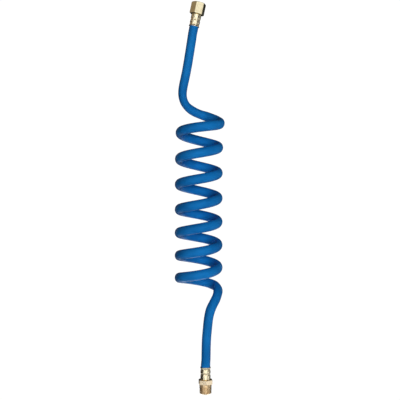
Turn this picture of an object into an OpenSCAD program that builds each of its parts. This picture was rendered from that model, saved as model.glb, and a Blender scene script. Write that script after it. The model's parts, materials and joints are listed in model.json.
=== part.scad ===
// Coiled air hose: a flexible tube wound into a hanging spring coil, with a brass swivel nut
// fitting at the top and a brass male threaded fitting at the bottom.
// Millimetres, +Z up. The origin is the middle of the swivel nut's thread, on its axis.

/* [Hose] */
// Outside diameter of the tube
hose_od = 10; // [9.6:0.1:10]
// Bore of the tube
hose_id = 6.5; // [6.5:0.1:7]

/* [Coil] */
// Radius of the coil, from its axis to the middle of the tube
coil_mean_r = 21.4; // [20:0.1:23]
// Number of turns in the coil
coil_turns = 7.25; // [6:0.25:8]
// Height of the coil's top above the coil's bottom
coil_height = 222; // [222:1:222]
// Coil's axis, to the right of the origin
coil_x = 0.5; // [0:0.1:2]

/* [Crimped ferrules] */
// Length of a ferrule
ferrule_length = 13.6; // [13.4:0.1:14]
// Outside radius over a ferrule's ribs
ferrule_r = 5.5; // [5.4:0.05:5.8]
// Depth of the two crimped grooves
crimp_depth = 0.4; // [0.2:0.05:0.5]
// Thickness of a ferrule's wall
ferrule_wall = 0.45; // [0.4:0.05:0.5]

/* [Stems] */
// Width across flats of both hexagons, 9/16 inch
hex_af = 14.29; // [14.29:0.01:15]
// Radius of the air passage
airway_r = 2.25; // [2:0.05:2.5]
// Radius of the stem's neck that the nut turns on
neck_r = 3.95; // [3.9:0.01:3.95]

/* [Inlet fitting] */
// Lean of the fitting's axis from the vertical, in degrees, with its mouth to the right
inlet_lean = 12; // [12:1:12]
// Length of the swivel nut
nut_length = 12.8; // [12.6:0.1:13]
// Length of the nut's threaded wall
nut_thread_length = 7.2; // [7:0.1:7.4]
// Radius of the nut's threaded wall, the tapping radius of 7/16-20 UNF
nut_thread_r = 4.96; // [4.9:0.01:5]
// Turn of the nut's hexagon about its axis, in degrees
nut_turn = -14; // [-30:1:30]

/* [Outlet fitting] */
// Height of the outlet hexagon
outlet_hex_height = 5; // [4.5:0.1:6]
// Length of the male threaded stub under the hexagon
stub_length = 10.6; // [10:0.1:12]
// Radius of the male thread, the mean major radius of 1/4-18 NPT
stub_r = 6.65; // [6.6:0.01:6.8]
// Turn of the outlet hexagon about its axis, in degrees
outlet_turn = -24; // [-30:1:30]

/* [Hidden] */
$fn = 96;

brass = [0.86, 0.72, 0.42];
hose_blue = [0.03, 0.31, 0.68];

hose_r = hose_od / 2;
bore_r = hose_id / 2;
tube_sides = 12;
// The polygon that stands for the bore has its flats, not its corners, at the bore's radius.
bore_corner_r = bore_r / cos(180 / tube_sides);
// The tube is squeezed to this radius inside a ferrule.
gripped_r = ferrule_r - crimp_depth - ferrule_wall - 0.05;

// Crimp frame: z = 0 at the back of the ferrule's flange, +z into the hose.
flange_thickness = 1.2;
flange_play = 0.05;
stop_thickness = 0.45;
hose_start = flange_thickness + flange_play + stop_thickness + 0.1;
groove_r = neck_r - 0.45;
spigot_r = bore_r - 0.15;
barb_r = bore_r - 0.05;
spigot_end = ferrule_length - 0.5;

// Inlet frame: z is the depth below the origin along the fitting's axis, +z into the hose.
nut_rise = nut_thread_length / 2 + 0.8;
nut_back = nut_length - nut_rise;
nut_shoulder = nut_back - 1.8;
head_r = nut_thread_r - 0.11;
head_top = nut_shoulder - 2.6;
inlet_crimp = nut_back + 0.3;
seat_angle = 37;

// The coil's flat ends, and the foot of the outlet ferrule's flange.
coil_top_z = -102;
coil_bottom_z = coil_top_z - coil_height;
outlet_place = [8, -6, -408.3];

// Centre-line of the tube from the inlet ferrule's mouth down to the coil's top face.
upper_route = [
    [-5.8, 0.2, -27.5], [-7.2, 0.8, -36], [-8.8, 2, -46], [-10.4, 3.5, -55.5],
    [-12, 5.2, -64.5], [-13.7, 7, -73], [-15.4, 8.6, -80.5], [-16.8, 10, -87],
    [-17.5, 11.4, -92.5], [-17.3, 13, -97.5], [-16, 15, coil_top_z]
];
// Centre-line of the tube from the coil's bottom face down to the outlet ferrule's mouth.
lower_route = [
    [16, -13.2, coil_bottom_z], [13.8, -15.2, -330], [12, -16, -336], [10.9, -15.7, -342.5],
    [10.1, -14.5, -350.5], [9.3, -12.6, -359.5], [8.6, -10.4, -369.5], [8.2, -8.4, -379.5],
    [8, -6.8, -388]
];

// ---- placing -------------------------------------------------------------------------------

// Depth along the leaning inlet axis, as a point in the part's frame.
function inlet_point(depth) = -depth * [sin(inlet_lean), 0, cos(inlet_lean)];

module at_inlet(depth) {
    rotate([0, 180 + inlet_lean, 0]) translate([0, 0, depth]) children();
}

module at_outlet() {
    translate(outlet_place) children();
}

// ---- swept tube ----------------------------------------------------------------------------

function unit(v) = v / norm(v);

// Direction of travel at each point, with the two end directions given.
function headings(route, first, last) = [
    for (i = [0 : len(route) - 1])
        i == 0 ? unit(first)
        : i == len(route) - 1 ? unit(last)
        : unit(route[i + 1] - route[i - 1])
];

// A side direction at each point, carried along the route without twisting.
function sides_along(way) = [
    for (i = 0, side = unit(cross(way[0], [0, 1, 0])); i < len(way);
         i = i + 1, side = i < len(way) ? unit(side - (side * way[i]) * way[i]) : side) side
];

function ring(centre, heading, side, r) = [
    for (k = [0 : tube_sides - 1])
        let (a = 360 * k / tube_sides)
            centre + r * (cos(a) * side + sin(a) * cross(heading, side))
];

// Two triangles of a wall between ring points a, b and the next ring's points a2, b2.
function wall(a, b, a2, b2) = [[a, b, b2], [a, b2, a2]];

function next(k) = (k + 1) % tube_sides;

// A hollow tube along a route, with an outside radius for each of the route's points.
module swept_tube(route, radii, first, last) {
    way = headings(route, first, last);
    side = sides_along(way);
    n = len(route);
    outer = [for (i = [0 : n - 1]) each ring(route[i], way[i], side[i], radii[i])];
    inner = [for (i = [0 : n - 1]) each ring(route[i], way[i], side[i], bore_corner_r)];
    in = n * tube_sides;
    end = (n - 1) * tube_sides;
    walls = [
        for (i = [0 : n - 2], k = [0 : tube_sides - 1])
            let (a = i * tube_sides + k, b = i * tube_sides + next(k))
                each concat(wall(b, a, b + tube_sides, a + tube_sides),
                            wall(in + a, in + b, in + a + tube_sides, in + b + tube_sides))
    ];
    ends = [
        for (k = [0 : tube_sides - 1])
            each concat(wall(k, next(k), in + k, in + next(k)),
                        wall(end + next(k), end + k, in + end + next(k), in + end + k))
    ];
    polyhedron(concat(outer, inner), concat(walls, ends));
}

// ---- shared shapes of both fittings --------------------------------------------------------

// A hexagonal bar from z = 0 to h, with its corners turned down at one or both ends.
module chamfered_hex(h, low_cut, high_cut) {
    corner_r = hex_af / 2 / cos(30);
    slope = tan(30);
    intersection() {
        cylinder(h = h, r = corner_r, $fn = 6);
        rotate_extrude() polygon([
            [0, 0], [corner_r - low_cut, 0], [corner_r + 0.1, (low_cut + 0.1) * slope],
            [corner_r + 0.1, h - (high_cut + 0.1) * slope], [corner_r - high_cut, h], [0, h]
        ]);
    }
}

// Outline of the spigot that the hose is pushed onto, from the flange groove to the tip.
function spigot_outline() = concat(
    [[groove_r, -0.05], [groove_r, flange_thickness + flange_play],
     [neck_r - 0.05, flange_thickness + flange_play],
     [neck_r - 0.05, hose_start - 0.1], [spigot_r, hose_start - 0.1]],
    [for (barb = [0 : 2], point = [[spigot_r, 3.4], [barb_r, 3.5], [spigot_r, 5.2]])
        [point[0], point[1] + 2.6 * barb]],
    [[spigot_r, spigot_end - 0.6], [airway_r + 0.25, spigot_end], [airway_r, spigot_end]]
);

// A ferrule: flange at z = 0, two crimped grooves, and a flared lip where the hose goes in.
module ferrule() {
    r = ferrule_r;
    dip = ferrule_r - crimp_depth;
    // Places of the ribs and grooves along the ferrule.
    profile = [
        [r - 0.5, 0], [r, 0.6], [r, 5], [dip, 5.7], [dip, 6.3], [r, 7],
        [r, 10], [dip, 10.7], [dip, 11.3], [r, 12], [r, ferrule_length - 0.5]
    ];
    lip_r = r - 0.1;
    color(brass) rotate_extrude() polygon(concat(
        [[groove_r + flange_play, 0]], profile,
        [[lip_r, ferrule_length], [hose_r + 0.1, ferrule_length]],
        [for (i = [len(profile) - 1 : -1 : 2]) [profile[i][0] - ferrule_wall, profile[i][1]]],
        [[r - ferrule_wall, flange_thickness], [groove_r + flange_play, flange_thickness]]
    ));
}

// ---- inlet fitting -------------------------------------------------------------------------

module inlet_swivel_nut() {
    mouth_r = nut_thread_r + 0.8;
    relief_r = nut_thread_r + 0.55;
    chamber_r = nut_thread_r + 0.2;
    back_r = neck_r + 0.05;
    thread_end = nut_thread_length / 2;
    color(brass) at_inlet(-nut_rise) difference() {
        rotate([0, 0, nut_turn]) chamfered_hex(nut_length, 1.5, 0.7);
        translate([0, 0, nut_rise]) rotate_extrude() polygon([
            [0, -nut_rise - 1], [mouth_r + 1, -nut_rise - 1], [mouth_r, -nut_rise],
            [nut_thread_r, -thread_end], [nut_thread_r, thread_end],
            [relief_r, thread_end], [relief_r, head_top], [chamber_r, head_top],
            [chamber_r, nut_shoulder], [back_r, nut_shoulder],
            [back_r, nut_back + 1], [0, nut_back + 1]
        ]);
    }
}

// The stem has a hollow conical seat at its head, a neck that the nut turns on, and the spigot.
module inlet_stem() {
    seat_r = head_r - 0.5;
    seat_end = head_top + 0.15 + (seat_r - airway_r) / tan(seat_angle);
    color(brass) at_inlet(0) rotate_extrude() polygon(concat(
        [[airway_r, seat_end], [seat_r, head_top + 0.15], [head_r, head_top + 0.15],
         [head_r, nut_shoulder - 0.05], [neck_r, nut_shoulder - 0.05], [neck_r, inlet_crimp - 0.05]],
        [for (point = spigot_outline()) point + [0, inlet_crimp]]
    ));
}

module inlet_ferrule() {
    at_inlet(inlet_crimp) ferrule();
}

// ---- hose ----------------------------------------------------------------------------------

module hose_upper_tail() {
    down = inlet_point(1);
    mouth = inlet_crimp + ferrule_length;
    gripped = [inlet_point(inlet_crimp + hose_start), inlet_point(mouth - 2.4), inlet_point(mouth)];
    radii = concat([gripped_r, gripped_r], [for (i = [0 : len(upper_route)]) hose_r]);
    color(hose_blue) swept_tube(concat(gripped, upper_route), radii, down, [0, 0, -1]);
}

// The wound part as one drum of the coil's outside size. Its shell is as thick as gives it the
// volume of the wound tube, and its end discs meet the two tails.
module hose_coil() {
    outer_r = coil_mean_r + hose_r;
    disc_r = coil_mean_r - hose_r;
    pitch = (coil_height - hose_od) / coil_turns;
    wound_length = coil_turns * norm([2 * PI * coil_mean_r, pitch]);
    tube_area = PI * (pow(hose_r, 2) - pow(bore_r, 2));
    drum_area = 2 * PI * outer_r * coil_height + 2 * PI * (pow(outer_r, 2) - pow(disc_r, 2));
    shell = wound_length * tube_area / drum_area;
    color(hose_blue) translate([coil_x, 0, coil_bottom_z]) rotate_extrude() polygon([
        [disc_r, 0], [outer_r, 0], [outer_r, coil_height], [disc_r, coil_height],
        [disc_r, coil_height - shell], [outer_r - shell, coil_height - shell],
        [outer_r - shell, shell], [disc_r, shell]
    ]);
}

module hose_lower_tail() {
    mouth = outlet_place + [0, 0, ferrule_length];
    gripped = [mouth, mouth - [0, 0, 2.4], outlet_place + [0, 0, hose_start]];
    radii = concat([for (i = [0 : len(lower_route)]) hose_r], [gripped_r, gripped_r]);
    color(hose_blue) swept_tube(concat(lower_route, gripped), radii, [0, 0, -1], [0, 0, -1]);
}

// ---- outlet fitting ------------------------------------------------------------------------

module outlet_ferrule() {
    at_outlet() ferrule();
}

// One turned piece: the spigot, the hexagon for a spanner, and the male threaded stub.
module outlet_stem() {
    relief = 0.7;
    tip_cut = 0.9;
    thread_top = -outlet_hex_height - relief;
    foot = -outlet_hex_height - stub_length;
    mouth_r = airway_r + 0.9;
    color(brass) at_outlet() difference() {
        union() {
            translate([0, 0, -outlet_hex_height]) rotate([0, 0, outlet_turn])
                chamfered_hex(outlet_hex_height, 0.9, 0.9);
            rotate_extrude() polygon(concat(
                [[0, foot], [stub_r - tip_cut, foot], [stub_r, foot + tip_cut], [stub_r, thread_top],
                 [stub_r - relief, thread_top], [stub_r - relief, -outlet_hex_height],
                 [groove_r, -outlet_hex_height]],
                spigot_outline(), [[0, spigot_end]]
            ));
        }
        rotate_extrude() polygon([
            [0, foot - 1], [mouth_r + 1, foot - 1], [mouth_r, foot], [airway_r, foot + 0.9],
            [airway_r, spigot_end + 1], [0, spigot_end + 1]
        ]);
    }
}

inlet_swivel_nut();
inlet_stem();
inlet_ferrule();
hose_upper_tail();
hose_coil();
hose_lower_tail();
outlet_ferrule();
outlet_stem();
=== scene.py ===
"""A coiled air hose: blue tube wound into a hanging coil, with crimped brass ends."""

import json
import logging
import math
from collections.abc import Callable
from dataclasses import dataclass, field
from enum import Enum
from typing import Union

import bmesh
import bpy
import numpy as np
from bpy.types import ID, Material, Node, NodeSocket, NodeTree, Object
from mathutils import Matrix, Vector

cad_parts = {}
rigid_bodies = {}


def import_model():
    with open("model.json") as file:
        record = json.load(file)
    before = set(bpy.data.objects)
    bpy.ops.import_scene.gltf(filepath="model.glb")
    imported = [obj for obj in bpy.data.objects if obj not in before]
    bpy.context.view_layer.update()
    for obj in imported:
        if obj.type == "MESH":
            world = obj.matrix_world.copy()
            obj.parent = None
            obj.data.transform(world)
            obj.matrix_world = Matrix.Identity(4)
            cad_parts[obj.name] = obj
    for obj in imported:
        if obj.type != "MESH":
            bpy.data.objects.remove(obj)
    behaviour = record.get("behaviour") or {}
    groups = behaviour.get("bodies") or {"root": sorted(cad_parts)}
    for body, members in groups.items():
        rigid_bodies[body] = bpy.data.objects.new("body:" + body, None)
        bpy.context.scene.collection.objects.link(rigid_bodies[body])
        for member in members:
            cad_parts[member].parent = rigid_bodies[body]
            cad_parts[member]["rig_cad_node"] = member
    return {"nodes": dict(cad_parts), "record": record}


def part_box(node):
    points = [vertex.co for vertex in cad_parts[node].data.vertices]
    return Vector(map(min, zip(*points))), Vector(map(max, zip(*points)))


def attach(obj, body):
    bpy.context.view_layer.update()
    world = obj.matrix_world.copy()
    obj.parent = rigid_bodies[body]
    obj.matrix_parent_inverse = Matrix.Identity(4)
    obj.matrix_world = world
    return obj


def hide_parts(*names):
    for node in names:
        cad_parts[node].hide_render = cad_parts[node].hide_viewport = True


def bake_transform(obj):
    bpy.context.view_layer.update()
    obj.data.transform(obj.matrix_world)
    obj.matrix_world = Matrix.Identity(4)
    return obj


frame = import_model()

LOG = logging.getLogger("air_hose")
MM = 0.001
TURN = 2 * math.pi
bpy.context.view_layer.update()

# Depth of the inlet ferrule's flange, just behind the swivel nut, in millimetres.
INLET_CRIMP = 8.7


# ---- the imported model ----


class Body(Enum):
    """The bodies that the pieces ride on."""

    NUT = "swivel_nut"
    HOSE = "hose"
    TOOL_END = "tool_end"


class Slot(Enum):
    """The record's material slots."""

    NUT = "brass_nut"
    STEM = "brass_stem"
    FERRULE = "brass_ferrule"
    HOSE = "hose_plastic"


def mount(name: str) -> dict:
    """The record's entry for one mount."""
    return next(m for m in frame["record"]["mounts"] if m["name"] == name)


@dataclass(frozen=True)
class Place:
    """Where a fitting's own frame lies: its origin, and the way its z axis points."""

    origin: Vector
    along: Vector

    def matrix(self) -> Matrix:
        """The matrix that takes the fitting's own frame, in metres, to the row frame."""
        turned = Vector((0, 0, 1)).rotation_difference(self.along)
        return Matrix.Translation(self.origin) @ turned.to_matrix().to_4x4()

    def point(self, depth: float) -> Vector:
        """The point on the fitting's axis at a depth in millimetres."""
        return self.origin + self.along * depth * MM


def inlet_place() -> Place:
    """The inlet fitting's frame: its z is the depth below the middle of the nut's thread."""
    thread = mount("inlet_thread")
    return Place(Vector(thread["pos_m"]), -Vector(thread["axis"]).normalized())


def outlet_place() -> Place:
    """The outlet fitting's frame: its origin is the ferrule's foot, and z points up the hose."""
    low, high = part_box("outlet_ferrule")
    return Place(Vector(((low.x + high.x) / 2, (low.y + high.y) / 2, low.z)), Vector((0, 0, 1)))


# ---- objects ----


def link(name: str, data: ID) -> Object:
    """A new object of the scene with this mesh, light or camera."""
    piece = bpy.data.objects.new(name, data)
    bpy.context.scene.collection.objects.link(piece)
    return piece


def aim_at(piece: Object, place: Vector, aim: Vector) -> None:
    """Puts a light or the camera at a place, facing a point."""
    piece.location = place
    piece.rotation_euler = (aim - place).to_track_quat("-Z", "Y").to_euler()


# ---- node trees ----


def math_method(operation: str, reflected: bool = False) -> Callable[..., "Varying"]:
    """Makes a method of Varying that adds one Math node.

    Args:
        operation: The node's operation.
        reflected: Whether the value itself comes last, as it does in 1 - mask.

    Returns:
        The method, which takes the operation's other values.
    """

    def method(self: "Varying", *others: "Number") -> "Varying":
        """The result of the operation on this value and the others."""
        values = (*others, self) if reflected else (self, *others)
        return self.maker.maths(operation, *values)

    return method


class Varying:
    """A number that varies over a surface: a node's output, with Python's operators."""

    __add__ = __radd__ = math_method("ADD")
    __sub__ = math_method("SUBTRACT")
    __rsub__ = math_method("SUBTRACT", reflected=True)
    __mul__ = __rmul__ = math_method("MULTIPLY")
    __truediv__ = math_method("DIVIDE")
    __rtruediv__ = math_method("DIVIDE", reflected=True)
    __pow__ = math_method("POWER")
    fraction = math_method("FRACT")
    size = math_method("ABSOLUTE")
    cosine = math_method("COSINE")
    least = math_method("MINIMUM")

    def __init__(self, maker: "NodeMaker", socket: NodeSocket) -> None:
        """Wraps one output socket of the maker's tree."""
        self.maker = maker
        self.socket = socket

    def clamped(self) -> "Varying":
        """The value kept between 0 and 1."""
        return self.maker.maths("MULTIPLY", self, 1.0, use_clamp=True)

    def ramp(self, low: float, high: float) -> "Varying":
        """0 below low, 1 above high, and a smooth rise between them.

        Args:
            low: Where the rise starts.
            high: Where the rise ends; a value under low makes it a fall.

        Returns:
            The smooth step.
        """
        share = ((self - low) / (high - low)).clamped()
        return share * share * (3 - 2 * share)


Number = Union[Varying, float]


class NodeMaker:
    """Adds nodes to one shader or geometry tree."""

    def __init__(self, tree: NodeTree) -> None:
        """Empties the tree and keeps it."""
        tree.nodes.clear()
        self.tree = tree

    def add(self, kind: str, settings: dict | None = None, sockets: dict | None = None) -> Node:
        """Adds one node.

        Args:
            kind: The node's type name.
            settings: The node's own properties, which are set first.
            sockets: Values or links for the inputs, by name or number.

        Returns:
            The new node.
        """
        node = self.tree.nodes.new(kind)
        for name, value in (settings or {}).items():
            setattr(node, name, value)
        for name, value in (sockets or {}).items():
            self._feed(node.inputs[name], value)
        return node

    def _feed(self, socket: NodeSocket, value: object) -> None:
        """Links a socket to another one, or sets its own value.

        Args:
            socket: The input.
            value: What it takes: a varying number, a socket or a plain value.
        """
        if isinstance(value, Varying):
            value = value.socket
        if isinstance(value, NodeSocket):
            self.tree.links.new(value, socket)
        else:
            socket.default_value = value

    def maths(self, operation: str, *values: Number, use_clamp: bool = False) -> Varying:
        """One Math node, as a value."""
        settings = {"operation": operation, "use_clamp": use_clamp}
        node = self.add("ShaderNodeMath", settings, dict(enumerate(values)))
        return self.value(node)

    def value(self, node: Node, output: int | str = 0) -> Varying:
        """One output of a node, as a value."""
        return Varying(self, node.outputs[output])

    def parts(self, vector: NodeSocket) -> tuple[Varying, Varying, Varying]:
        """The x, y and z of a vector."""
        node = self.add("ShaderNodeSeparateXYZ", sockets={0: vector})
        return self.value(node, 0), self.value(node, 1), self.value(node, 2)

    def vector(self, x: Number, y: Number, z: Number) -> NodeSocket:
        """A vector made of three values."""
        return self.add("ShaderNodeCombineXYZ", sockets={0: x, 1: y, 2: z}).outputs[0]

    def mix(self, share: Varying, first: object, second: object) -> NodeSocket:
        """A colour between two colours.

        Args:
            share: 0 for the first colour, 1 for the second.
            first: A colour, or the socket of one.
            second: A colour, or the socket of one.

        Returns:
            The mixed colour's socket.
        """
        settings = {"data_type": "RGBA", "clamp_factor": True}
        colours = [(*c, 1.0) if isinstance(c, tuple) else c for c in (first, second)]
        node = self.add("ShaderNodeMix", settings, {0: share, 6: colours[0], 7: colours[1]})
        return node.outputs[2]

    def noise(self, vector: NodeSocket, scale: float, detail: float = 2.0) -> Varying:
        """Smooth noise between 0 and 1 at points given by a vector."""
        sockets = {"Vector": vector, "Scale": scale, "Detail": detail}
        return self.value(self.add("ShaderNodeTexNoise", sockets=sockets))

    def streaks(self, place: tuple, scales: tuple, detail: float = 3.0) -> Varying:
        """Noise that is finer one way than another.

        Args:
            place: x, y and z of the point.
            scales: Streaks in each metre along x, y and z.
            detail: How many finer layers the noise has.

        Returns:
            The noise, between 0 and 1.
        """
        stretched = self.vector(*[part * scale for part, scale in zip(place, scales)])
        return self.noise(stretched, 1.0, detail)


# ---- finishes ----


def material_on(name: str) -> tuple[Material, NodeMaker]:
    """A new empty material and the maker of its nodes."""
    material = bpy.data.materials.new(name)
    material.use_nodes = True
    return material, NodeMaker(material.node_tree)


@dataclass(frozen=True)
class HosePlastic:
    """Satin extruded plastic: faint lines along the tube, slow changes of shade, light scuffs.

    Attributes:
        colour: Its lighter shade.
        deep_colour: Its darker shade.
        scuff_colour: Colour of the scuffs.
        scuff_share: How much of that colour a scuff takes on.
        roughness: Roughness where it is clean.
        line_depth: Depth of the drawing lines, in metres.
        lines: Drawing lines in each metre across, around and along the tube.
        rubs: Rubbed streaks in each metre across, around and along it.
        shades: Changes of shade in each metre.
        patches: Scuffed patches in each metre.
    """

    colour: tuple = (0.008, 0.208, 0.62)
    deep_colour: tuple = (0.005, 0.158, 0.50)
    scuff_colour: tuple = (0.06, 0.30, 0.74)
    scuff_share: float = 0.35
    roughness: float = 0.36
    line_depth: float = 0.00004
    lines: tuple = (900.0, 900.0, 6.0)
    rubs: tuple = (500.0, 500.0, 90.0)
    shades: float = 42.0
    patches: float = 75.0

    def build(self) -> Material:
        """Makes the material.

        Returns:
            The material, whose pattern follows the tube by the "unrolled" attribute.
        """
        material, nodes = material_on("hose plastic")
        source = nodes.add("ShaderNodeAttribute", {"attribute_name": "unrolled"})
        unrolled = source.outputs["Vector"]
        place = nodes.parts(unrolled)
        shade = nodes.noise(unrolled, self.shades, 3.0)
        lines = nodes.streaks(place, self.lines)
        rub = nodes.streaks(place, self.rubs, 4.0)
        patches = nodes.noise(unrolled, self.patches)
        # Noise lies mostly between 0.3 and 0.7, so these ramps leave only its peaks.
        scuffs = rub.ramp(0.60, 0.74) * patches.ramp(0.54, 0.68)
        tone = nodes.mix(shade.ramp(0.35, 0.68), self.colour, self.deep_colour)
        colour = nodes.mix(scuffs * self.scuff_share, tone, self.scuff_colour)
        roughness = self.roughness + (lines - 0.5) * 0.10 + scuffs * 0.18
        height = lines * 0.8 + rub * 0.2
        bump = nodes.add("ShaderNodeBump", sockets={
            "Strength": 0.35, "Distance": self.line_depth, "Height": height,
        })
        shader = nodes.add("ShaderNodeBsdfPrincipled", sockets={
            "Base Color": colour, "Roughness": roughness, "IOR": 1.5,
            "Specular IOR Level": 0.3, "Specular Tint": (0.15, 0.6, 1.0, 1.0),
            "Normal": bump.outputs[0],
        })
        nodes.add("ShaderNodeOutputMaterial", sockets={0: shader.outputs[0]})
        return material


class Marks(Enum):
    """How a brass piece was made, which decides the lines on it."""

    TURNED = "turned"
    MILLED = "milled"
    PRESSED = "pressed"


@dataclass(frozen=True)
class Brass:
    """Bright brass with tool marks, tarnish and painted shade in its recesses, and slow changes of
    tone.

    Attributes:
        marks: How the piece was made.
        colour: Colour of the clean metal.
        tarnish_and_shade: Colour of the dull metal in patches and specks, and of the tarnish and
            painted shade in grooves.
        roughness: Roughness of the clean metal.
        mark_depth: Depth of the tool marks, in metres.
        flats_beyond: Radius past which a surface is a flat of the hexagon, in metres.
        rings: Turning marks in each metre across and along the piece.
        lines: Drawing or milling marks in each metre across it, across it and along it.
        patches: Dull patches in each metre.
        specks: Dull specks in each metre.
    """

    marks: Marks
    colour: tuple = (0.90, 0.80, 0.56)
    tarnish_and_shade: tuple = (0.45, 0.31, 0.15)
    roughness: float = 0.20
    mark_depth: float = 0.00002
    flats_beyond: float = 0.00705
    rings: float = 5200.0
    lines: tuple = (4200.0, 4200.0, 160.0)
    patches: float = 260.0
    specks: float = 1400.0

    def build(self, name: str, place: Place) -> Material:
        """Makes the material for a piece of one fitting.

        Args:
            name: Name of the material.
            place: The fitting's frame, which the tool marks go round.

        Returns:
            The material.
        """
        material, nodes = material_on(name)
        own = nodes.add("ShaderNodeTexCoord").outputs["Object"]
        turn = Vector((0, 0, 1)).rotation_difference(place.along).to_euler()
        local = nodes.add("ShaderNodeMapping", {"vector_type": "TEXTURE"}, {
            "Vector": own, "Location": place.origin, "Rotation": turn,
        }).outputs[0]
        x, y, z = nodes.parts(local)
        radius = (x * x + y * y) ** 0.5
        rings = nodes.streaks((radius, z, 0.0), (self.rings, self.rings, 1.0))
        drawn = nodes.streaks((x, y, z), self.lines)
        patches = nodes.noise(local, self.patches, 3.0)
        specks = nodes.noise(local, self.specks)
        if self.marks is Marks.TURNED:
            lines = rings
        elif self.marks is Marks.PRESSED:
            lines = drawn
        else:
            flats = radius.ramp(self.flats_beyond - 0.1 * MM, self.flats_beyond + 0.1 * MM)
            lines = rings * (1 - flats) + drawn * flats
        # The recess share darkens thread roots and jaw marks towards the tarnish colour: partly
        # tarnish, partly painted shade.
        recess = nodes.value(nodes.add("ShaderNodeAttribute", {"attribute_name": "recess"}), "Fac")
        dull_and_shade = patches.ramp(0.46, 0.74) * 0.22 + specks.ramp(0.66, 0.80) * 0.12 + recess * 0.6
        colour = nodes.mix(dull_and_shade, self.colour, self.tarnish_and_shade)
        roughness = self.roughness + (lines - 0.5) * 0.16 + dull_and_shade * 0.28 + recess * 0.1
        bump = nodes.add("ShaderNodeBump", sockets={
            "Strength": 0.5, "Distance": self.mark_depth, "Height": lines + specks * 0.2,
        })
        shader = nodes.add("ShaderNodeBsdfPrincipled", sockets={
            "Base Color": colour, "Metallic": 1.0, "Roughness": roughness,
            "Normal": bump.outputs[0],
        })
        nodes.add("ShaderNodeOutputMaterial", sockets={0: shader.outputs[0]})
        return material


# ---- geometry node tools ----


class Tool:
    """A geometry tree that works one piece's surface, with named inputs for its sizes.

    Attributes:
        name: Name of the tree.
        sizes: Names of its size inputs.
    """

    name = "tool"
    sizes: tuple = ()

    def __init__(self) -> None:
        """Starts the tree with its geometry and material sockets."""
        tree = bpy.data.node_groups.new(self.name, "GeometryNodeTree")
        self.nodes = NodeMaker(tree)
        self.tree = tree
        self._socket("Geometry", "NodeSocketGeometry")
        self._socket("Material", "NodeSocketMaterial")
        self._socket("Geometry", "NodeSocketGeometry", "OUTPUT")
        for size in self.sizes:
            self._socket(size, "NodeSocketFloat")
        self.inputs = self.nodes.add("NodeGroupInput")
        self._finish(self.shape())

    def _socket(self, name: str, kind: str, way: str = "INPUT") -> None:
        """Adds one named input, or the output."""
        self.tree.interface.new_socket(name=name, in_out=way, socket_type=kind)

    def size(self, name: str) -> Varying:
        """One of the size inputs, as a value."""
        return self.nodes.value(self.inputs, name)

    def shape(self) -> NodeSocket:
        """Adds the nodes that work the surface, and returns their geometry."""
        return self.inputs.outputs["Geometry"]

    def polar(self) -> tuple[Varying, Varying, Varying, Varying]:
        """Places of the surface's points round the axis.

        Returns:
            x and y of the way out from the axis, the angle in turns, and z.
        """
        position = self.nodes.add("GeometryNodeInputPosition").outputs[0]
        x, y, z = self.nodes.parts(position)
        radius = (x * x + y * y) ** 0.5
        angle = self.nodes.maths("ARCTAN2", y, x) / TURN
        return x / radius, y / radius, angle, z

    def worked(self, name: str) -> Varying:
        """A named attribute of the surface, such as the share of the tool that it takes."""
        settings = {"data_type": "FLOAT"}
        node = self.nodes.add("GeometryNodeInputNamedAttribute", settings, {"Name": name})
        return self.nodes.value(node, "Attribute")

    def pushed(self, out_x: Varying, out_y: Varying, far: Varying, recess: Varying) -> NodeSocket:
        """Moves the surface, and stores how much of a recess each point is in.

        Args:
            out_x: x of the way out from the axis.
            out_y: y of that way.
            far: How far each point moves outwards.
            recess: The number to store as "recess", which the brass reads for its tarnish and
                painted shade.

        Returns:
            The worked geometry.
        """
        moved = self.nodes.add("GeometryNodeSetPosition", sockets={
            "Geometry": self.inputs.outputs["Geometry"],
            "Offset": self.nodes.vector(out_x * far, out_y * far, 0.0),
        })
        settings = {"data_type": "FLOAT", "domain": "POINT"}
        return self.nodes.add("GeometryNodeStoreNamedAttribute", settings, {
            "Geometry": moved.outputs[0], "Name": "recess", "Value": recess,
        }).outputs[0]

    def _finish(self, geometry: NodeSocket) -> None:
        """Ends the tree in Realize Instances and Set Material.

        Args:
            geometry: The worked surface.
        """
        real = self.nodes.add("GeometryNodeRealizeInstances", sockets={"Geometry": geometry})
        dressed = self.nodes.add("GeometryNodeSetMaterial", sockets={
            "Geometry": real.outputs[0], "Material": self.inputs.outputs["Material"],
        })
        self.nodes.add("NodeGroupOutput", sockets={0: dressed.outputs[0]})

    def work(self, piece: Object, material: Material, **sizes: float) -> None:
        """Works a piece with this tool and leaves a plain mesh.

        Args:
            piece: The piece, whose axis is its z axis.
            material: Its material.
            **sizes: The size inputs, with underscores for spaces.
        """
        modifier = piece.modifiers.new(self.name, "NODES")
        modifier.node_group = self.tree
        given = {name.replace("_", " "): value for name, value in sizes.items()}
        given["material"] = material
        for item in self.tree.interface.items_tree:
            if item.in_out == "INPUT" and item.name.lower() in given:
                modifier[item.identifier] = given[item.name.lower()]
        evaluated = piece.evaluated_get(bpy.context.evaluated_depsgraph_get())
        mesh = bpy.data.meshes.new_from_object(evaluated)
        piece.modifiers.remove(modifier)
        piece.data = mesh


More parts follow.
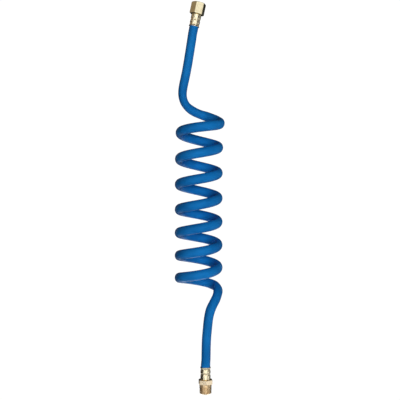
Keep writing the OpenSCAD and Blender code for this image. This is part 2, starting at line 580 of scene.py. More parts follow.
class ThreadCutter(Tool):
    """Cuts a right-handed V thread into the rings marked "threaded".

    Attributes:
        crest: Share of half a pitch that is left as the flat crest.
        flank: Share of it that slopes down to the groove's flat bottom.
    """

    name = "thread cutter"
    sizes = ("Pitch", "Cut", "Low End", "High End", "Run Out")
    crest = 0.18
    flank = 0.74

    def shape(self) -> NodeSocket:
        """Moves each marked point by the depth of the groove at its place on the helix.

        Returns:
            The threaded surface.
        """
        out_x, out_y, angle, z = self.polar()
        phase = (z / self.size("Pitch") - angle).fraction()
        crest_to_root = 1 - (phase * 2 - 1).size()
        groove = ((crest_to_root - self.crest) / self.flank).clamped()
        run_out = self.size("Run Out")
        from_low = ((z - self.size("Low End")) / run_out).clamped()
        from_high = ((self.size("High End") - z) / run_out).clamped()
        depth = groove * from_low * from_high * self.worked("threaded")
        # The squared depth goes out as the recess share: tarnish and painted shade in the thread's
        # roots.
        return self.pushed(out_x, out_y, depth * self.size("Cut"), depth ** 2)


class CrimpingJaws(Tool):
    """Presses a ring of flat jaws into a sleeve at two places along it.

    Attributes:
        tarnish_and_shade: How much of a recess the bottom of a jaw mark is, for its tarnish and
            painted shade.
    """

    name = "crimping jaws"
    sizes = ("Jaws", "First Press", "Second Press", "Sleeve Radius", "Jaw Depth", "Jaw Crown")
    tarnish_and_shade = 0.55

    def press(self, place: Varying, radius_at_jaw: Varying, z: Varying) -> Varying:
        """How far one press moves the wall inwards, as a negative distance.

        Args:
            place: Where the press is along the sleeve.
            radius_at_jaw: Factor by which a flat jaw's face is further out away from its middle.
            z: Distance along the sleeve.

        Returns:
            The wall's move outwards.
        """
        away = z - place
        bottom = self.size("Sleeve Radius") - self.size("Jaw Depth")
        face = (bottom + away * away / (2 * self.size("Jaw Crown"))) * radius_at_jaw
        return (face - self.size("Sleeve Radius")).least(0.0)

    def shape(self) -> NodeSocket:
        """Moves each marked point in to the jaws' faces.

        Returns:
            The crimped surface.
        """
        out_x, out_y, angle, z = self.polar()
        jaws = self.size("Jaws")
        across = ((angle * jaws + 0.5).fraction() - 0.5) * TURN / jaws
        opening = 1 / across.cosine()
        first = self.press(self.size("First Press"), opening, z)
        second = self.press(self.size("Second Press"), opening, z)
        move = first.least(second) * self.worked("pressed")
        # Deeper in a jaw mark means more tarnish and more painted shade.
        recess = (move / self.size("Jaw Depth") * -self.tarnish_and_shade).clamped()
        return self.pushed(out_x, out_y, move, recess)


# ---- turned pieces ----


def ring_piece(name: str, rings: np.ndarray) -> Object:
    """Makes a closed piece, each ring joined to the next and the last one to the first.

    Args:
        name: Name of the piece.
        rings: The points of every ring, in millimetres.

    Returns:
        The piece, in metres.
    """
    corners = np.arange(rings.shape[0] * rings.shape[1]).reshape(rings.shape[:2])
    beside, above = np.roll(corners, -1, 1), np.roll(corners, -1, 0)
    faces = np.stack([corners, beside, np.roll(above, -1, 1), above], -1)
    mesh = bpy.data.meshes.new(name)
    mesh.from_pydata((rings.reshape(-1, 3) * MM).tolist(), [], faces.reshape(-1, 4).tolist())
    return link(name, mesh)


@dataclass(frozen=True)
class HexBar:
    """Hexagonal bar stock, in millimetres.

    Attributes:
        across_flats: Width across two flats.
        corner_round: Radius of the bar's corners.
        turn: Angle of a corner from the fitting's x axis, in degrees.
        edge: Width of the broken edge round each face.
    """

    across_flats: float = 14.29
    corner_round: float = 0.35
    turn: float = 0.0
    edge: float = 0.14

    def angles(self) -> np.ndarray:
        """Places the rings' points round the bar, close together at its corners.

        Returns:
            The angles, in radians.
        """
        flat = np.linspace(-28.6, 28.6, 25)
        corner = np.array([29.0, 29.4, 29.7, 30.0, 30.3, 30.6, 31.0])
        sector = np.concatenate([flat, corner])
        return np.radians(np.concatenate([sector + 60 * k + 30 + self.turn for k in range(6)]))

    def radius(self, angles: np.ndarray) -> np.ndarray:
        """The bar's radius at each angle: flats, with an arc at each corner.

        Args:
            angles: Angles round the bar, in radians.

        Returns:
            One radius for each, in millimetres.
        """
        flat = self.across_flats / 2
        from_flat = (angles - math.radians(self.turn)) % (math.pi / 3) - math.pi / 6
        from_corner = math.pi / 6 - np.abs(from_flat)
        middle = (flat - self.corner_round) / math.cos(math.pi / 6)
        touch = np.arctan2(middle * math.sin(math.pi / 6), flat)
        under_root = self.corner_round ** 2 - (middle * np.sin(from_corner)) ** 2
        arc = middle * np.cos(from_corner) + np.sqrt(np.clip(under_root, 0, None))
        return np.where(np.abs(from_flat) > touch, arc, flat / np.cos(from_flat))


class Turning:
    """A ring-shaped piece built up from rings of points round the fitting's axis.

    The rings follow the outline of the wall, out along one side and back along the other, and the
    last ring joins the first. Sizes are in millimetres in the fitting's own frame.
    """

    def __init__(self, bar: HexBar) -> None:
        """Starts with no rings.

        Args:
            bar: The bar that the piece is turned from; its angles are the rings'.
        """
        self.bar = bar
        self.angles = bar.angles()
        self.hexagon = bar.radius(self.angles)
        self.rings: list[tuple[np.ndarray, np.ndarray, float, float]] = []

    def ring(self, radius: float | np.ndarray, z: float | np.ndarray, threaded: float = 0.0,
             pressed: float = 0.0) -> None:
        """Adds one ring; radius and z are one number each, or one for every angle."""
        full = np.ones_like(self.angles)
        self.rings.append((full * radius, full * z, threaded, pressed))

    def outline(self, points: list[tuple[float, float]], ease: float = 0.12) -> None:
        """Adds rings along an outline with its inner corners rounded.

        Args:
            points: Radius and z of each corner.
            ease: Distance from a corner at which its rounding starts.
        """
        for i, corner in enumerate(points):
            here = np.array(corner, float)
            if 0 < i < len(points) - 1:
                before, after = np.array(points[i - 1]) - here, np.array(points[i + 1]) - here
                start = here + before * min(ease / np.linalg.norm(before), 0.45)
                end = here + after * min(ease / np.linalg.norm(after), 0.45)
                for t in (0.0, 0.25, 0.5, 0.75, 1.0):
                    radius, z = (1 - t) ** 2 * start + 2 * t * (1 - t) * here + t * t * end
                    self.ring(radius, z)
            else:
                self.ring(*here)

    def barrel(self, start: tuple[float, float], end: tuple[float, float], step: float,
               threaded: float = 0.0, pressed: float = 0.0) -> None:
        """Adds closely spaced rings on a straight or tapered wall.

        Args:
            start: Radius and z of the first ring.
            end: Radius and z of the last ring.
            step: Largest distance between rings.
            threaded: Share of the thread cutter's cut that these rings take.
            pressed: Share of the crimping jaws' press that these rings take.
        """
        count = math.ceil(abs(end[1] - start[1]) / step)
        for t in np.linspace(0, 1, count + 1):
            self.ring(start[0] + (end[0] - start[0]) * t, start[1] + (end[1] - start[1]) * t,
                      threaded, pressed)

    def hex_end(self, z: float, inwards: int, cut: float) -> list[tuple[np.ndarray, np.ndarray]]:
        """The two rings of a hexagon's chamfered end, from its face to its side.

        Args:
            z: Where the end face lies.
            inwards: 1 if the bar lies above the face, -1 if it lies below.
            cut: How far the 30 degree chamfer reaches in from the corners.

        Returns:
            Radius and z for each angle, for the face's ring and for the side's ring.
        """
        face = self.bar.across_flats / 2 / math.cos(math.pi / 6) - cut
        drop = np.maximum((self.hexagon - face) * math.tan(math.pi / 6), self.bar.edge)
        inner = np.minimum(face, self.hexagon - self.bar.edge)
        return [(inner, np.full_like(inner, z)), (self.hexagon, z + inwards * drop)]

    def hexagon_between(self, low: float, high: float, low_cut: float, high_cut: float,
                        upwards: bool = True) -> None:
        """Adds the rings of a chamfered hexagon.

        Args:
            low: z of the lower face.
            high: z of the upper face.
            low_cut: Chamfer at the lower face.
            high_cut: Chamfer at the upper face.
            upwards: Whether the outline goes up here.
        """
        rings = self.hex_end(low, 1, low_cut) + self.hex_end(high, -1, high_cut)[::-1]
        for radius, z in rings if upwards else rings[::-1]:
            self.ring(radius, z)

    def piece(self, name: str) -> Object:
        """Makes the piece in the fitting's own frame, in metres.

        Args:
            name: Name of the piece.

        Returns:
            The piece, whose points carry the shares "threaded" and "pressed".
        """
        around = np.column_stack([np.cos(self.angles), np.sin(self.angles)])
        piece = ring_piece(name, np.array([
            np.column_stack([around * radius[:, None], z]) for radius, z, _, _ in self.rings
        ]))
        for label, column in (("threaded", 2), ("pressed", 3)):
            attribute = piece.data.attributes.new(label, "FLOAT", "POINT")
            shares = np.repeat([ring[column] for ring in self.rings], len(self.angles))
            attribute.data.foreach_set("value", shares)
        return piece


def settle(piece: Object, place: Matrix, crease: float = 32.0) -> None:
    """Puts a finished piece's place into its mesh, turns its faces outwards and smooths them.

    Args:
        piece: The piece, in its own frame.
        place: From that frame to the row frame.
        crease: Smallest angle that stays a sharp edge, in degrees.
    """
    mesh = piece.data
    shape = bmesh.new()
    shape.from_mesh(mesh)
    bmesh.ops.transform(shape, matrix=place, verts=shape.verts)
    bmesh.ops.remove_doubles(shape, verts=shape.verts, dist=1e-7)
    bmesh.ops.recalc_face_normals(shape, faces=shape.faces)
    shape.to_mesh(mesh)
    shape.free()
    for label in ("threaded", "pressed"):
        if label in mesh.attributes:
            mesh.attributes.remove(mesh.attributes[label])
    mesh.shade_smooth()
    mesh.set_sharp_from_angle(angle=math.radians(crease))


def dress(piece: Object, material: Material) -> None:
    """Gives a piece one material, in place of any that it had.

    Args:
        piece: A new piece, or a CAD node.
        material: The material.
    """
    piece.data.materials.clear()
    piece.data.materials.append(material)


def report(piece: Object) -> None:
    """Logs a finished piece with its number of faces."""
    LOG.info("%s: %d faces", piece.name, len(piece.data.polygons))


# ---- hose ----


@dataclass
class Hose:
    """The whole tube, in one piece from fitting to fitting.

    Lengths are in millimetres. The coil goes down right-handed from its first turn at the right.

    Attributes:
        outer_r: Outside radius of the free tube.
        bore_r: Radius of its bore.
        gripped_r: Outside radius where a ferrule grips it.
        length: Real length of the tube; not used.
        coil_r: Radius of the coil's centre-line.
        coil_axis: x of the coil's axis.
        entry_shift: How far to the right the axis lies where the coil begins.
        entry_bulge: How much wider the coil is there.
        entry_turns: In how many turns most of both is gone.
        entry_sag: How far the first strand hangs below the regular turns at its lowest.
        sag_start: Where that sag starts, in turns.
        sag_turns: In how many turns it reaches its lowest.
        coil_top: z of the middle of the first turn.
        pitch: Distance between turns at the top, where the hose below pulls hardest.
        closing: How the turns close up further down, with the cube of the turn.
        tilt: Slope of each turn down to the right, at the top.
        tilt_loss: How much that slope falls in each turn.
        nod: Slope of each turn down to the front.
        uneven: Turns, each with how far the tube hangs below the regular coil there.
        last_turn: Where the coil ends, in turns.
        closed_pitch: Pitch at which neighbouring turns just miss each other.
        fade: Height at either end of the coil over which its stretching fades in.
        flattening: Share by which bending makes the tube thinner towards its bend.
        release: Length inside a ferrule's mouth in which the tube gets its full size back.
        swell: How much thicker it is just past the mouth.
        swell_at: How far past the mouth that is.
        swell_reach: Half the length of the swelling.
        sides: Corners round the tube.
        ring_step: Distance between its rings of corners.
        turn_points: Points of the path in each turn.
        inlet_depths: Depths of the path's points on the inlet fitting's axis.
        outlet_heights: Heights of its points on the outlet fitting's axis.
        upper_route: Points of the path from the inlet fitting to the coil.
        lower_route: Points of the path from the coil to the outlet fitting.
    """

    outer_r: float = 5.0
    bore_r: float = 3.25
    gripped_r: float = 4.6
    length: float = 1230.0
    coil_r: float = 21.70
    coil_axis: float = 0.46
    entry_shift: float = 2.1
    entry_bulge: float = 0.3
    entry_turns: float = 0.8
    entry_sag: float = 1.2
    sag_start: float = -0.04
    sag_turns: float = 0.085
    coil_top: float = -126.1
    pitch: float = 28.2
    closing: float = 0.0404
    tilt: float = 0.040
    tilt_loss: float = 0.006
    nod: float = 0.042
    uneven: tuple = (
        (0.1, 0.0), (0.5, -0.9), (1.2, -0.3), (2.5, 0.0), (3.6, 0.3), (4.25, -0.9),
        (4.7, -0.2), (5.3, -1.1), (5.9, -0.4), (6.45, -0.5), (6.9, 0.8),
    )
    last_turn: float = 6.9
    closed_pitch: float = 10.9
    fade: float = 4.0
    flattening: float = 0.085
    release: float = 2.6
    swell: float = 0.05
    swell_at: float = 1.6
    swell_reach: float = 1.5
    sides: int = 40
    ring_step: float = 2.2
    turn_points: int = 16
    inlet_depths: tuple = (10.5, 12.5, 15.0, 17.5, 19.9, 22.3)
    outlet_heights: tuple = (13.6, 11.2, 8.8, 6.4, 4.0, 1.8)
    upper_route: tuple = (
        (-5.8, 0.2, -27.5), (-7.2, 0.8, -36), (-8.8, 2, -46), (-10.4, 3.5, -55.5),
        (-12, 5.2, -64.5), (-13.7, 7, -73), (-15.4, 8.6, -80.5), (-16.8, 10, -87),
        (-17.5, 11.4, -92.5), (-17.3, 13, -97.5), (-16, 15, -102), (-13.4, 17.3, -106.3),
        (-9.6, 19.5, -109.8), (-4.6, 21, -112.9), (2, 21.4, -115.8), (8.5, 20.6, -118.1),
        (14.5, 17.8, -120.5), (19.5, 13.2, -123), (22.9, 7.2, -125.5),
    )
    lower_route: tuple = (
        (21.8, 0, -311.6), (21, -5.2, -315.8), (18.9, -9.9, -320.6), (16.1, -13.2, -325.4),
        (13.8, -15.2, -330), (12, -16, -336), (10.9, -15.7, -342.5), (10.1, -14.5, -350.5),
        (9.3, -12.6, -359.5), (8.8, -10.4, -369.5), (8.6, -8.4, -379.5), (8.4, -6.8, -388),
    )

    def coil_point(self, turn: float) -> list[float]:
        """The centre-line's point on the coil.

        Args:
            turn: Number of turns from the coil's top.

        Returns:
            x, y and z in millimetres.
        """
        angle = -TURN * turn
        settling = math.exp(-turn / self.entry_turns)
        radius = self.coil_r + self.entry_bulge * settling
        right = radius * math.cos(angle)
        rounding = (turn - self.sag_start) / self.sag_turns
        sag = self.entry_sag * rounding * math.exp(1 - rounding)
        drop = self.pitch * turn - self.closing * turn ** 3 + sag
        drop += np.interp(turn, *zip(*self.uneven))
        slope = self.tilt - self.tilt_loss * turn
        back = radius * math.sin(angle)
        return [
            self.coil_axis + self.entry_shift * settling + right,
            back,
            self.coil_top - drop - slope * right + self.nod * back,
        ]

    def knots(self, inlet: Place, outlet: Place) -> np.ndarray:
        """The points that the centre-line passes through.

        Args:
            inlet: The inlet fitting's frame.
            outlet: The outlet fitting's frame.

        Returns:
            The points from the inlet to the outlet, in millimetres.
        """
        turns = np.linspace(0, self.last_turn, round(self.last_turn * self.turn_points) + 1)
        return np.array([
            *[inlet.point(d) / MM for d in self.inlet_depths],
            *self.upper_route,
            *[self.coil_point(t) for t in turns],
            *self.lower_route,
            *[outlet.point(h) / MM for h in self.outlet_heights],
        ], float)

    @staticmethod
    def smooth_line(knots: np.ndarray, step: float) -> np.ndarray:
        """Points at even distances on the smooth curve through the knots.

        Args:
            knots: Points that the curve passes through.
            step: Distance between the new points.

        Returns:
            The points, the first and the last knot among them.
        """
        gaps = np.linalg.norm(np.diff(knots, axis=0), axis=1)
        places = np.concatenate([[0], np.cumsum(gaps)])
        count = len(knots)
        system, rates = np.eye(count), np.zeros_like(knots)
        slopes = np.diff(knots, axis=0) / gaps[:, None]
        for i in range(1, count - 1):
            system[i, i - 1:i + 2] = gaps[i - 1], 2 * (gaps[i - 1] + gaps[i]), gaps[i]
            rates[i] = 6 * (slopes[i] - slopes[i - 1])
        bends = np.linalg.solve(system, rates)

        def at(s: np.ndarray) -> np.ndarray:
            """The curve's points.

            Args:
                s: Places along the knots.

            Returns:
                One point for each.
            """
            i = np.clip(np.searchsorted(places, s, "right") - 1, 0, count - 2)
            gap, after = gaps[i][:, None], (s - places[i])[:, None]
            before = gap - after
            return (
                (bends[i] * before ** 3 + bends[i + 1] * after ** 3) / (6 * gap)
                + (knots[i] / gap - bends[i] * gap / 6) * before
                + (knots[i + 1] / gap - bends[i + 1] * gap / 6) * after
            )

        fine = np.linspace(0, places[-1], 20 * count)
        travelled = np.linalg.norm(np.diff(at(fine), axis=0), axis=1)
        travelled = np.concatenate([[0], np.cumsum(travelled)])
        even = np.linspace(0, travelled[-1], round(travelled[-1] / step) + 1)
        return at(np.interp(even, travelled, fine))

    @staticmethod
    def steady_frames(line: np.ndarray) -> tuple[np.ndarray, np.ndarray, np.ndarray]:
        """Directions for the rings of a tube, which don't twist along it.

        Args:
            line: The centre-line's points.

        Returns:
            Two directions across the tube at each point, and the curvature there.
        """
        ahead = np.gradient(line, axis=0)
        spacing = np.linalg.norm(ahead, axis=1, keepdims=True)
        ahead = ahead / spacing
        bend = np.gradient(ahead, axis=0) / spacing
        side = np.cross(ahead[0], (0, 1, 0))
        sides = []
        for direction in ahead:
            side = side - (side @ direction) * direction
            side = side / np.linalg.norm(side)
            sides.append(side)
        first = np.array(sides)
        return first, np.cross(ahead, first), bend

    def radii(self, travelled: np.ndarray) -> np.ndarray:
        """The tube's outside radius, which is less in both ferrules and more at their mouths.

        Args:
            travelled: Distances along the tube.

        Returns:
            One radius for each.
        """
        total = travelled[-1]
        from_end = np.minimum(
            travelled - (self.inlet_depths[-1] - self.inlet_depths[0]),
            total - travelled - (self.outlet_heights[0] - self.outlet_heights[-1]),
        )
        share = np.clip((from_end + self.release) / self.release, 0, 1)
        freed = share * share * (3 - 2 * share)
        swell = self.swell * np.exp(-((from_end - self.swell_at) / self.swell_reach) ** 2)
        return self.gripped_r + (self.outer_r - self.gripped_r) * freed + swell

    def tube(self, line: np.ndarray) -> Object:
        """Sweeps the hollow tube along its centre-line.

        Args:
            line: The centre-line's points, in millimetres.

        Returns:
            The tube, with the "unrolled" attribute that its plastic reads.
        """
        first, second, bend = self.steady_frames(line)
        steps = np.linalg.norm(np.diff(line, axis=0), axis=1)
        travelled = np.concatenate([[0], np.cumsum(steps)])
        angles = np.arange(self.sides) * TURN / self.sides
        across = (np.cos(angles)[None, :, None] * first[:, None]
                  + np.sin(angles)[None, :, None] * second[:, None])
        sharpness = np.linalg.norm(bend, axis=1)
        inwards = bend / np.maximum(sharpness, 1e-6)[:, None]
        share = (self.flattening * np.clip(sharpness * self.coil_r, 0, 1) ** 2)[:, None, None]
        towards = (across * inwards[:, None]).sum(2, keepdims=True) * inwards[:, None]
        oval = across * (1 + share) - 2 * share * towards
        outer = line[:, None] + oval * self.radii(travelled)[:, None, None]
        inner = line[:, None] + oval * self.bore_r
        piece = ring_piece("hose", np.concatenate([outer, inner[::-1]]))
        rolled = np.empty((2 * len(line), self.sides, 3))
        rolled[..., 0] = self.outer_r * np.cos(angles)
        rolled[..., 1] = self.outer_r * np.sin(angles)
        rolled[..., 2] = np.concatenate([travelled, travelled[::-1]])[:, None]
        attribute = piece.data.attributes.new("unrolled", "FLOAT_VECTOR", "POINT")
        attribute.data.foreach_set("vector", (rolled * MM).ravel())
        return piece

    def stretch_shares(self, line: np.ndarray) -> np.ndarray:
        """How far each ring follows the tool end, from 0 above the coil to 1 below it.

        A turn takes up travel in proportion to the gap that it has to its neighbours, so that the
        turns close together at the joint's limit without one passing into another.

        Args:
            line: The centre-line's points, in millimetres.

        Returns:
            One share for each point.
        """
        step = np.linalg.norm(np.gradient(line, axis=0), axis=1)
        fall = -np.gradient(line[:, 2]) / step
        round_coil = TURN * self.coil_r
        closed = self.closed_pitch / round_coil
        gap = np.clip(fall, closed, self.pitch / round_coil) - closed
        low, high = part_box("hose_coil")
        from_top, from_bottom = high.z / MM - line[:, 2], line[:, 2] - low.z / MM
        inside = np.clip(from_top / self.fade, 0, 1) * np.clip(from_bottom / self.fade, 0, 1)
        travel = np.cumsum(gap * inside * step)
        return travel / travel[-1]

    def build(self, inlet: Place, outlet: Place) -> tuple[Object, list[list[float]]]:
        """Makes the hose in place of the CAD hose nodes, and works out stretch shares that nothing
        uses.

        Args:
            inlet: The inlet fitting's frame.
            outlet: The outlet fitting's frame.

        Returns:
            The hose, and the points of its path in metres.
        """
        line = self.smooth_line(self.knots(inlet, outlet), self.ring_step)
        piece = self.tube(line)
        settle(piece, Matrix.Identity(4), crease=60.0)
        dress(piece, HosePlastic().build())
        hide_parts("hose_upper_tail", "hose_coil", "hose_lower_tail")
        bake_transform(piece)
        shares = self.stretch_shares(line)
        shares = np.repeat(np.concatenate([shares, shares[::-1]]), self.sides)
        report(piece)
        return piece, (line * MM).tolist()


# ---- fittings ----


@dataclass
class Ferrule:
    """A crimped brass sleeve, in millimetres: flange at z = 0, mouth at the far end.

    Attributes:
        length: From the flange to the mouth.
        radius: Outside radius of the sleeve.
        wall: Thickness of its wall.
        hole_r: Radius of the hole in its flange.
        flange: Thickness of the flange.
        flare: How much wider the mouth is than the sleeve.
        flare_height: Height of the flared mouth.
        presses: Places of the two rings of jaw marks.
        jaws: Number of jaws.
        jaw_depth: Depth of the jaw marks.
        jaw_crown: Radius of the rounded jaw faces along the sleeve.
        turn: Angle by which the jaws were turned round the sleeve, in degrees.
    """

    length: float = 13.6
    radius: float = 5.5
    wall: float = 0.45
    hole_r: float = 3.55
    flange: float = 1.2
    flare: float = 0.28
    flare_height: float = 1.1
    presses: tuple = (6.0, 11.0)
    jaws: int = 8
    jaw_depth: float = 0.42
    jaw_crown: float = 3.0
    turn: float = 10.0

    def build(self, name: str, node: str, body: Body, place: Place) -> Object:
        """Makes one ferrule in place of a CAD node.

        Args:
            name: Name of the new piece.
            node: The CAD node.
            body: The body that it rides on.
            place: Where its flange is, with z towards its mouth.

        Returns:
            The ferrule.
        """
        shell = Turning(HexBar(turn=self.turn))
        inside = self.radius - self.wall
        flare_start = self.length - self.flare_height
        shell.outline([
            (inside, self.flange + 0.3), (inside - 0.3, self.flange), (self.hole_r, self.flange),
            (self.hole_r, 0), (self.radius - 0.5, 0), (self.radius, 0.6), (self.radius, 1.2),
        ])
        shell.barrel((self.radius, 1.3), (self.radius, flare_start), 0.12, pressed=1.0)
        shell.outline([
            (self.radius, flare_start + 0.05), (self.radius + self.flare, self.length - 0.5),
            (self.radius + self.flare, self.length - 0.05), (self.radius, self.length),
            (inside + 0.1, self.length - 0.02), (inside, flare_start),
        ])
        shell.barrel((inside, flare_start - 0.1), (inside, self.flange + 0.4), 0.4, pressed=1.0)
        piece = shell.piece(name)
        brass = Brass(Marks.PRESSED, colour=(0.98, 0.88, 0.62), roughness=0.22)
        material = brass.build(name + " brass", place)
        CrimpingJaws().work(
            piece, material, jaws=float(self.jaws), first_press=self.presses[0] * MM,
            second_press=self.presses[1] * MM, sleeve_radius=self.radius * MM,
            jaw_depth=self.jaw_depth * MM, jaw_crown=self.jaw_crown * MM,
        )
        settle(piece, place.matrix())
        dress(piece, material)
        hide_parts(node)
        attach(piece, body.value)
        report(piece)
        return piece


@dataclass
class SwivelNut:
    """The inlet's hexagon nut, in millimetres of depth below the middle of its thread.

    Attributes:
        front: Depth of the front face, where the mating fitting goes in.
        back: Depth of the back face.
        shoulder: Depth of the shoulder that holds the stem's head.
        relief_end: Depth at which the groove behind the thread ends.
        neck_hole_r: Radius of the hole at the back.
        pitch: Pitch of the thread, 20 to the inch.
        thread_depth: Depth of the thread's grooves.
        front_cut: Chamfer of the hexagon at the front face.
        back_cut: Chamfer at the back face.
        bar: The bar that the nut is cut from.
    """

    front: float = -4.4
    back: float = 8.4
    shoulder: float = 6.6
    relief_end: float = 4.0
    neck_hole_r: float = 4.0
    pitch: float = 1.27
    thread_depth: float = 0.55
    front_cut: float = 1.5
    back_cut: float = 0.7
    bar: HexBar = field(default_factory=lambda: HexBar(turn=-14.0))

    def build(self, place: Place) -> Object:
        """Makes the nut in place of its CAD node.

        Args:
            place: The inlet fitting's frame.

        Returns:
            The nut.
        """
        thread_r = mount("inlet_thread")["dims"]["r_mm"]
        half = mount("inlet_thread")["dims"]["length_mm"] / 2
        wall = Turning(self.bar)
        wall.hexagon_between(self.front, self.back, self.front_cut, self.back_cut)
        wall.outline([
            (self.neck_hole_r + 0.8, self.back), (self.neck_hole_r, self.back),
            (self.neck_hole_r, self.shoulder), (thread_r + 0.2, self.shoulder),
            (thread_r + 0.2, self.relief_end), (thread_r + self.thread_depth, self.relief_end),
            (thread_r + self.thread_depth, half + 0.02), (thread_r + 0.03, half + 0.02),
        ], 0.08)
        wall.barrel((thread_r, half), (thread_r, -half), self.pitch / 14, threaded=1.0)
        wall.outline([
            (thread_r + 0.02, -half - 0.02), (thread_r + 0.8, self.front + 0.02),
            (thread_r + 1.1, self.front),
        ], 0.05)
        piece = wall.piece("swivel_nut")
        brass = Brass(Marks.MILLED, colour=(0.75, 0.67, 0.45))
        material = brass.build("nut brass", place)
        ThreadCutter().work(
            piece, material, pitch=self.pitch * MM, cut=self.thread_depth * MM,
            low_end=-half * MM, high_end=half * MM, run_out=self.pitch * 0.6 * MM,
        )
        settle(piece, place.matrix())
        dress(piece, material)
        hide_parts("inlet_swivel_nut")
        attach(piece, Body.NUT.value)
        report(piece)
        return piece


@dataclass
class OutletStem:
    """The outlet's turned piece: barbed spigot, hexagon and tapered thread, in millimetres.

    Attributes:
        hex_height: Height of the hexagon, whose top is at z = 0.
        hex_cut: Chamfer at both its faces.
        pitch: Pitch of the thread, 18 to the inch.
        thread_depth: Depth of its grooves.
        taper: Change of radius for each millimetre of length, from 1 in 16 on the diameter.
        relief: Height and depth of the neck between the hexagon and the thread.
        tip_cut: Chamfer at the thread's end.
        groove_r: Radius of the groove that holds the ferrule's flange.
        stop_r: Radius of the collar above that groove.
        airway_r: Radius of the air passage.
        spigot_r: Radius of the spigot between its barbs.
        barb_r: Radius of the barbs.
        spigot_end: z of the spigot's tip.
        bar: The bar that the stem is turned from.
    """

    hex_height: float = 5.0
    hex_cut: float = 0.8
    pitch: float = 1.411
    thread_depth: float = 0.8
    taper: float = 1 / 32
    relief: float = 0.7
    tip_cut: float = 0.9
    groove_r: float = 3.5
    stop_r: float = 3.9
    airway_r: float = 2.25
    spigot_r: float = 3.1
    barb_r: float = 3.2
    spigot_end: float = 13.1
    bar: HexBar = field(default_factory=lambda: HexBar(turn=-24.0))

    def build(self, place: Place) -> Object:
        """Makes the stem in place of its CAD node.

        Args:
            place: The outlet fitting's frame.

        Returns:
            The stem.
        """
        stub_r = mount("outlet_thread")["dims"]["r_mm"]
        foot = (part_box("outlet_stem")[0].z - place.origin.z) / MM
        top = -self.hex_height - self.relief
        low = foot + self.tip_cut
        half = (top - low) / 2 * self.taper
        wall = Turning(self.bar)
        wall.outline([
            (self.airway_r, self.spigot_end - 0.4), (self.airway_r + 0.25, self.spigot_end),
            (self.spigot_r, self.spigot_end - 0.6),
            *[(radius, z + 2.6 * barb) for barb in (2, 1, 0)
              for radius, z in ((self.spigot_r, 5.2), (self.barb_r, 3.5), (self.spigot_r, 3.4))],
            (self.spigot_r, 1.7), (self.stop_r, 1.7), (self.stop_r, 1.25), (self.groove_r, 1.25),
            (self.groove_r, 0), (self.groove_r + 1.5, 0),
        ], 0.05)
        wall.hexagon_between(-self.hex_height, 0, self.hex_cut, self.hex_cut, upwards=False)
        wall.outline([
            (stub_r - 0.2, -self.hex_height), (stub_r - self.relief, -self.hex_height),
            (stub_r - self.relief, top + 0.25), (stub_r + half - 0.1, top),
        ], 0.15)
        wall.barrel(
            (stub_r + half, top - 0.05), (stub_r - half, low), self.pitch / 14, threaded=1.0,
        )
        wall.outline([
            (stub_r - half - 0.05, low - 0.05), (stub_r - half - self.tip_cut, foot),
            (self.airway_r + 0.9, foot), (self.airway_r, foot + 0.9),
            (self.airway_r, foot + 4), (self.airway_r, self.spigot_end - 0.6),
        ], 0.12)
        piece = wall.piece("outlet_stem_turned")
        # Its tarnish colour also gives the painted shade in the thread's roots.
        brass = Brass(
            Marks.MILLED, colour=(1.0, 0.83, 0.58), tarnish_and_shade=(0.80, 0.60, 0.37), roughness=0.30,
        )
        material = brass.build("outlet stem brass", place)
        ThreadCutter().work(
            piece, material, pitch=self.pitch * MM, cut=-self.thread_depth * MM,
            low_end=(low - 0.4) * MM, high_end=top * MM, run_out=self.pitch * MM,
        )
        settle(piece, place.matrix())
        dress(piece, material)
        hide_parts("outlet_stem")
        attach(piece, Body.TOOL_END.value)
        report(piece)
        return piece


# ---- studio ----


class Lights(Enum):
    """The surfaces that a light works on, each with the kind of ray that is kept from it."""

    MATT = "visible_glossy"
    SHINY = "visible_diffuse"


@dataclass(frozen=True)
class Softbox:
    """One rectangular light on a circle round the hose.

    Attributes:
        name: Its name.
        bearing: Degrees to the right of the camera, seen from the hose.
        height: z of its middle, in metres.
        distance: Distance from the hose's axis, in metres.
        width: Width in metres.
        tall: Height of the light in metres.
        brightness: Brightness of its face; 1 is as bright as the white backdrop.
        lights: Whether it lights matt surfaces or is mirrored in shiny ones.
        tint: Colour of its light.
    """

    name: str
    bearing: float
    height: float
    distance: float
    width: float
    tall: float
    brightness: float
    lights: Lights
    tint: tuple = (1.0, 1.0, 1.0)

    def build(self, aim: Vector) -> None:
        """Makes the light.

        Args:
            aim: The point that it faces.
        """
        data = bpy.data.lights.new(self.name, "AREA")
        data.shape = "RECTANGLE"
        data.size, data.size_y = self.width, self.tall
        data.energy = self.brightness * math.pi * self.width * self.tall
        data.color = self.tint
        light = link(self.name, data)
        setattr(light, self.lights.value, False)
        bearing = math.radians(self.bearing)
        right, front = self.distance * math.sin(bearing), self.distance * math.cos(bearing)
        aim_at(light, Vector((aim.x + right, -front, self.height)), aim)


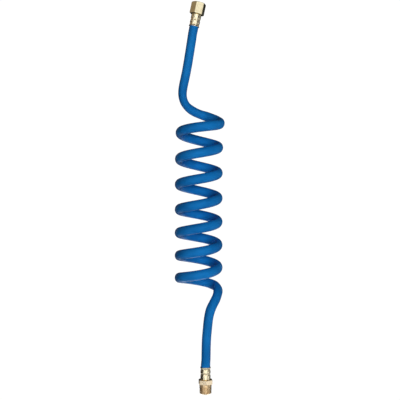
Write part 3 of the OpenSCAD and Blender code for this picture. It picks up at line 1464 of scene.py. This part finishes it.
@dataclass
class Studio:
    """Pale floor, plain soft light, and the camera. Lengths are in metres.

    Attributes:
        camera_at: Place of the camera, level with the middle of the hose.
        aim: The point that the camera and the lights face.
        lens: Focal length of the camera, in millimetres.
        floor_z: Height of the floor, well below the hanging hose.
        floor_r: Radius of the floor.
        floor_seen: Brightness of the floor in the picture.
        floor_glow: Its brightness as light on the hose.
        backdrop_seen: Brightness of the backdrop in the picture.
        surround: Its brightness as light on the hose.
        softboxes: The lights.
    """

    camera_at: tuple = (0.002, -0.8305, -0.2124)
    aim: tuple = (0.002, 0.0, -0.2124)
    lens: float = 67.95
    floor_z: float = -1.0
    floor_r: float = 1.6
    floor_seen: float = 0.75
    floor_glow: float = 0.06
    backdrop_seen: float = 1.05
    surround: float = 0.025
    softboxes: tuple = (
        Softbox("key", 14.0, -0.12, 1.6, 0.5, 0.6, 16.4, Lights.MATT),
        Softbox("back key", 180.0, -0.05, 1.6, 0.5, 0.6, 6.0, Lights.MATT),
        Softbox("right fill", 145.0, -0.1, 1.6, 0.5, 0.9, 5.0, Lights.MATT),
        Softbox("left fill", -145.0, -0.1, 1.6, 0.5, 0.9, 4.0, Lights.MATT),
        Softbox("front card", 4.0, -0.10, 1.6, 1.7, 2.8, 1.3, Lights.SHINY),
        Softbox("right front card", 42.0, -0.15, 1.6, 0.4, 1.7, 0.9, Lights.SHINY),
        Softbox("left front card", -42.0, -0.15, 1.6, 0.55, 1.7, 1.15, Lights.SHINY),
        Softbox("low right card", 70.0, -0.70, 1.3, 0.5, 0.5, 1.1, Lights.SHINY),
        Softbox("right card", 92.0, -0.15, 1.1, 0.6, 1.7, 0.3, Lights.SHINY),
        Softbox("left card", -90.0, 0.5, 1.1, 0.9, 0.9, 0.34, Lights.SHINY, (1.0, 0.78, 0.52)),
        Softbox("right rear card", 122.0, -0.15, 1.6, 0.6, 1.7, 0.15, Lights.SHINY),
        Softbox("left rear card", -142.0, -0.15, 1.6, 0.6, 1.7, 0.12, Lights.SHINY),
        Softbox("floor card", 180.0, -0.95, 0.4, 0.6, 0.6, 2.0, Lights.SHINY),
    )

    def camera(self) -> None:
        """Makes the camera and sets it as the scene's."""
        data = bpy.data.cameras.new("camera")
        data.lens = self.lens
        data.sensor_width = 36.0
        camera = link("camera", data)
        aim_at(camera, Vector(self.camera_at), Vector(self.aim))
        bpy.context.scene.camera = camera

    def seen_or(self, nodes: NodeMaker, seen: float, otherwise: float) -> Varying:
        """One brightness in the picture, and another as light on the hose."""
        in_picture = nodes.value(nodes.add("ShaderNodeLightPath"), "Is Camera Ray")
        return otherwise + in_picture * (seen - otherwise)

    def floor(self) -> None:
        """Makes the pale round floor."""
        shape = bmesh.new()
        bmesh.ops.create_circle(shape, cap_ends=True, segments=128, radius=self.floor_r,
                                matrix=Matrix.Translation((0, 0, self.floor_z)))
        mesh = bpy.data.meshes.new("floor")
        shape.to_mesh(mesh)
        shape.free()
        material, nodes = material_on("pale floor")
        shader = nodes.add("ShaderNodeBsdfPrincipled", sockets={
            "Base Color": (0.8, 0.8, 0.8, 1.0), "Roughness": 0.9,
            "Emission Color": (1.0, 1.0, 1.0, 1.0),
            "Emission Strength": self.seen_or(nodes, self.floor_seen, self.floor_glow),
        })
        nodes.add("ShaderNodeOutputMaterial", sockets={0: shader.outputs[0]})
        mesh.materials.append(material)
        link("floor", mesh)

    def surroundings(self) -> None:
        """Makes a white backdrop all round, which hardly lights the hose."""
        world = bpy.data.worlds.new("studio")
        world.use_nodes = True
        nodes = NodeMaker(world.node_tree)
        strength = self.seen_or(nodes, self.backdrop_seen, self.surround)
        light = nodes.add("ShaderNodeBackground", sockets={0: (1.0, 1.0, 1.0, 1.0), 1: strength})
        nodes.add("ShaderNodeOutputWorld", sockets={0: light.outputs[0]})
        bpy.context.scene.world = world
        bpy.context.scene.view_settings.view_transform = "Standard"

    def lights(self) -> None:
        """Makes the floor, the surroundings and the softboxes."""
        self.floor()
        self.surroundings()
        for softbox in self.softboxes:
            softbox.build(Vector(self.aim))


def main() -> None:
    """Builds the hose and its fittings in order."""
    logging.basicConfig(level=logging.INFO, format="%(name)s: %(message)s")
    studio = Studio()
    studio.camera()
    inlet, outlet = inlet_place(), outlet_place()
    hose = Hose()
    tube, path = hose.build(inlet, outlet)
    SwivelNut().build(inlet)
    stem = frame["nodes"]["inlet_stem"]
    dress(stem, Brass(Marks.TURNED).build("inlet stem brass", inlet))
    report(stem)
    crimp_start = Place(inlet.point(INLET_CRIMP), inlet.along)
    Ferrule().build("inlet_crimp", "inlet_ferrule", Body.HOSE, crimp_start)
    ferrule = Ferrule(turn=2.0).build("outlet_crimp", "outlet_ferrule", Body.TOOL_END, outlet)
    threaded = OutletStem().build(outlet)
    tuple(inlet.point(hose.inlet_depths[-1]))
    studio.lights()


if __name__ == "__main__":
    main()
